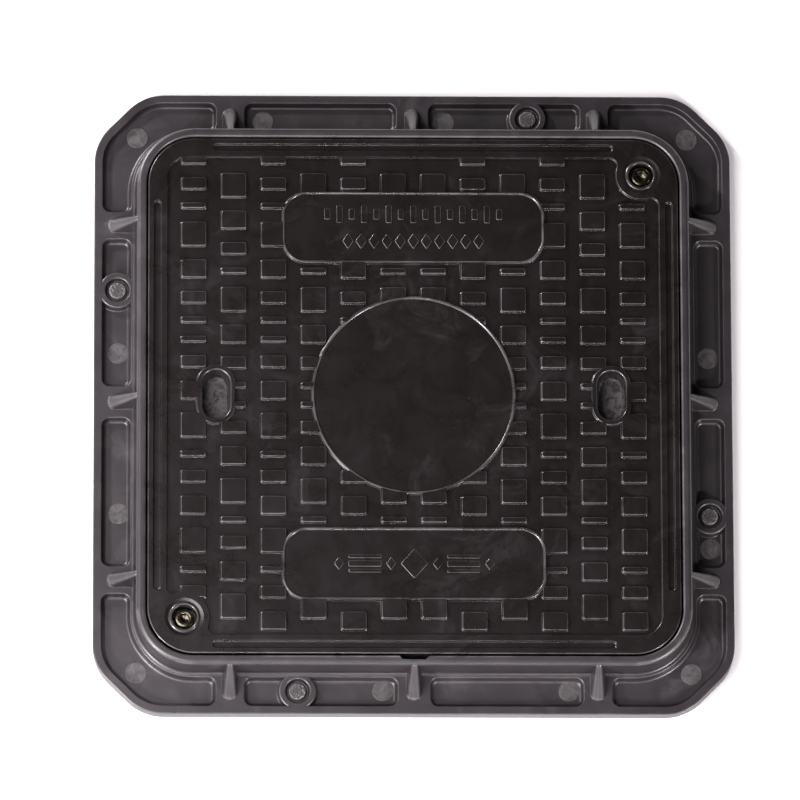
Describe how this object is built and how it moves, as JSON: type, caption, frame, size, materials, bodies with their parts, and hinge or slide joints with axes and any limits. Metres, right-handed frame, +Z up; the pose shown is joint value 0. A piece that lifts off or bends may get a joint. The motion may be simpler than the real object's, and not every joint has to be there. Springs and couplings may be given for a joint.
{
  "type": "manhole cover",
  "caption": "Square moulded access cover: a treaded lid that seats on a gasket in a flanged frame, held by socket-head lock screws in opposite corners.",
  "frame": {"origin": "centre of the frame's base, the face that beds on the chamber", "axes": "+Z up, out of the lid's tread; -Y towards the side with the pry notch; +X to the right seen from that side"},
  "size_m": [0.4, 0.4, 0.03],
  "materials": {
    "frame_plastic": "satin black moulded polymer",
    "lid_plastic": "satin black moulded polymer",
    "gasket_rubber": "matt black rubber",
    "seal_rubber": "matt black rubber",
    "insert_brass": "turned",
    "fastener_steel": "stainless, dulled"
  },
  "bodies": {
    "frame": {"frame": "frame_plastic", "seat_gasket": "gasket_rubber", "threaded_insert_right": "insert_brass", "threaded_insert_left": "insert_brass"},
    "lid": {"lid": "lid_plastic", "seal_ring_right": "seal_rubber", "seal_ring_left": "seal_rubber"},
    "washer_right": {"washer_right": "fastener_steel"},
    "washer_left": {"washer_left": "fastener_steel"},
    "screw_right": {"lock_screw_right": "fastener_steel"},
    "screw_left": {"lock_screw_left": "fastener_steel"}
  },
  "joints": [
    {"name": "lid_lift", "type": "slide", "parent": "frame", "child": "lid", "axis": [0, 0, 1], "range_m": [0, 0.06]},
    {"name": "screw_rise_right", "type": "slide", "parent": "lid", "child": "washer_right", "axis": [0, 0, 1], "range_m": [0, 0.0101]},
    {"name": "screw_turn_right", "type": "hinge", "parent": "washer_right", "child": "screw_right", "pos_m": [0.143, 0.143, 0.022], "axis": [0, 0, 1], "range_deg": [0, 2880]},
    {"name": "screw_rise_left", "type": "slide", "parent": "lid", "child": "washer_left", "axis": [0, 0, 1], "range_m": [0, 0.0101]},
    {"name": "screw_turn_left", "type": "hinge", "parent": "washer_left", "child": "screw_left", "pos_m": [-0.143, -0.143, 0.022], "axis": [0, 0, 1], "range_deg": [0, 2880]}
  ],
  "couplings": [
    {"joint": "screw_rise_right", "follows": "screw_turn_right", "m_per_rad": 0.00019894},
    {"joint": "screw_rise_left", "follows": "screw_turn_left", "m_per_rad": 0.00019894}
  ]
}
